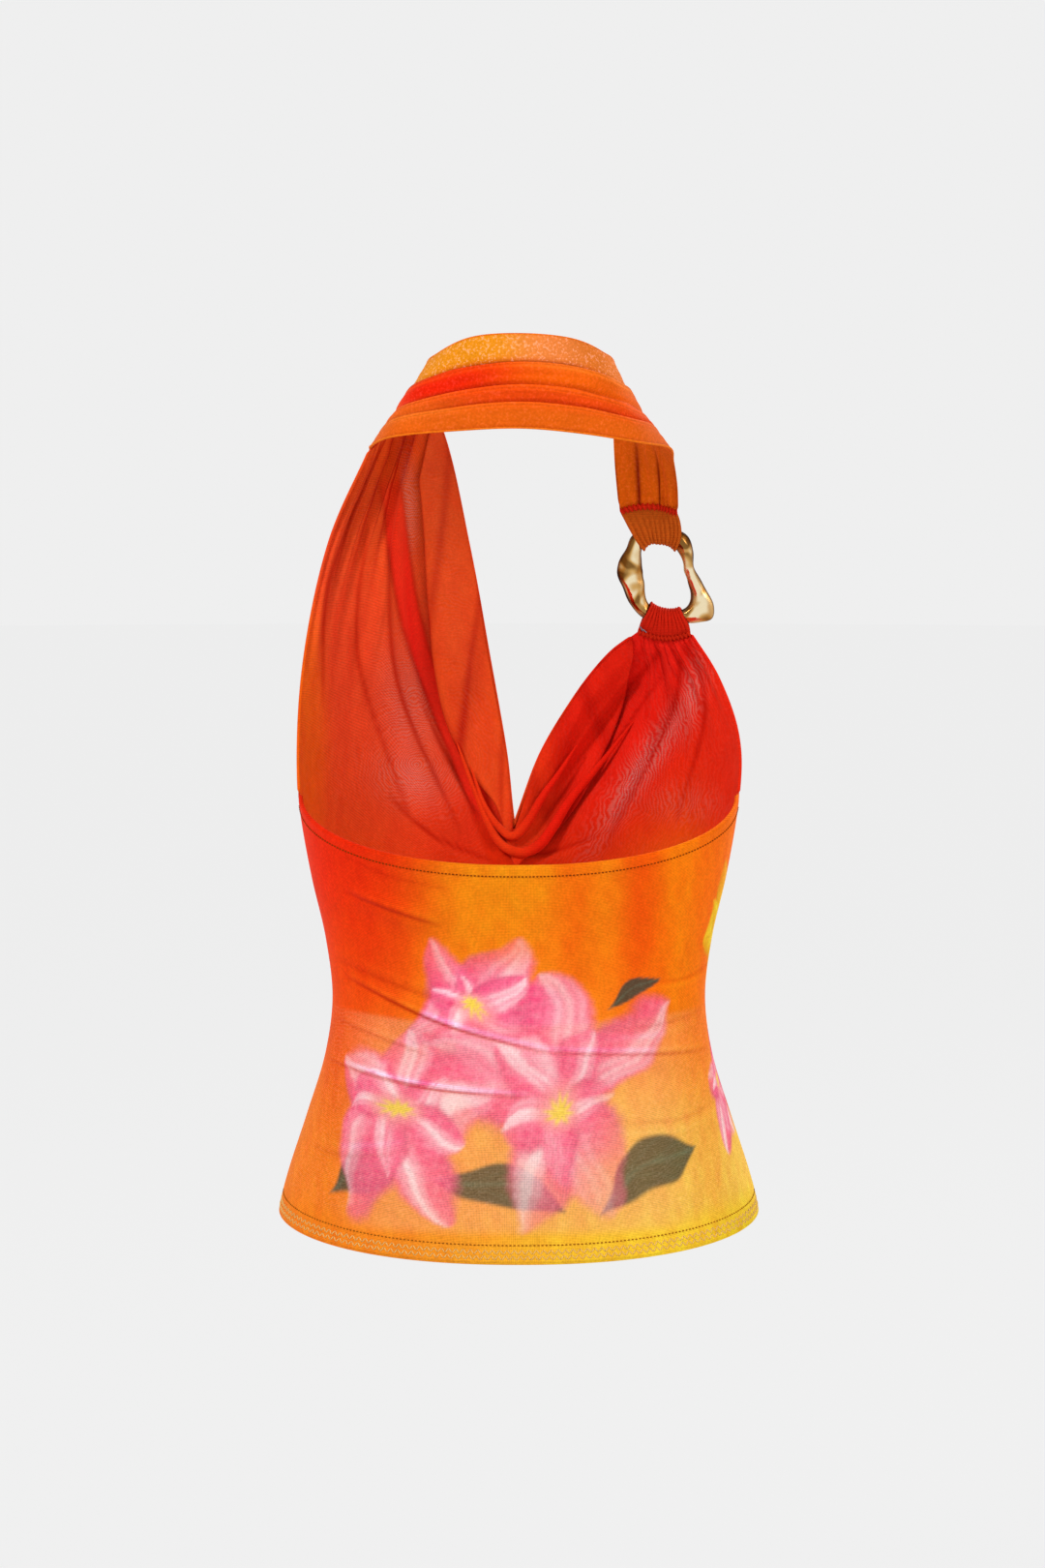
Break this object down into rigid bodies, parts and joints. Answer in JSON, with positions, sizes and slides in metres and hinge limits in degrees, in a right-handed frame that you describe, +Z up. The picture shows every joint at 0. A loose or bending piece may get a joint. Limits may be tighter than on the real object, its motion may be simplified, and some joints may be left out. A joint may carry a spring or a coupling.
{
  "type": "sleeveless mesh halter top",
  "caption": "Sleeveless printed mesh top in its worn form, with a low back, a cowl front, a pleated neck band and a cast ring at the shoulder.",
  "frame": {"origin": "the nape, on the inner face of the neck band, half way up it", "axes": "+Z up; +Y the way the wearer faces, so the back of the top is at -Y; +X towards the wearer's right, where the ring is"},
  "size_m": [0.3116, 0.2218, 0.5793],
  "materials": {
    "back_mesh": "printed fine stretch mesh",
    "front_mesh": "printed fine stretch mesh",
    "band_mesh": "printed fine stretch mesh, pleated",
    "gold_metal": "polished gold-coloured casting"
  },
  "bodies": {
    "root": {"back_panel": "back_mesh", "front_panel": "front_mesh", "cowl_facing": "front_mesh", "neck_band": "band_mesh", "back_top_turning": "back_mesh", "back_hem_turning": "back_mesh", "front_hem_turning": "front_mesh", "upper_loop": "band_mesh", "lower_loop": "front_mesh", "ring": "gold_metal"}
  },
  "joints": []
}
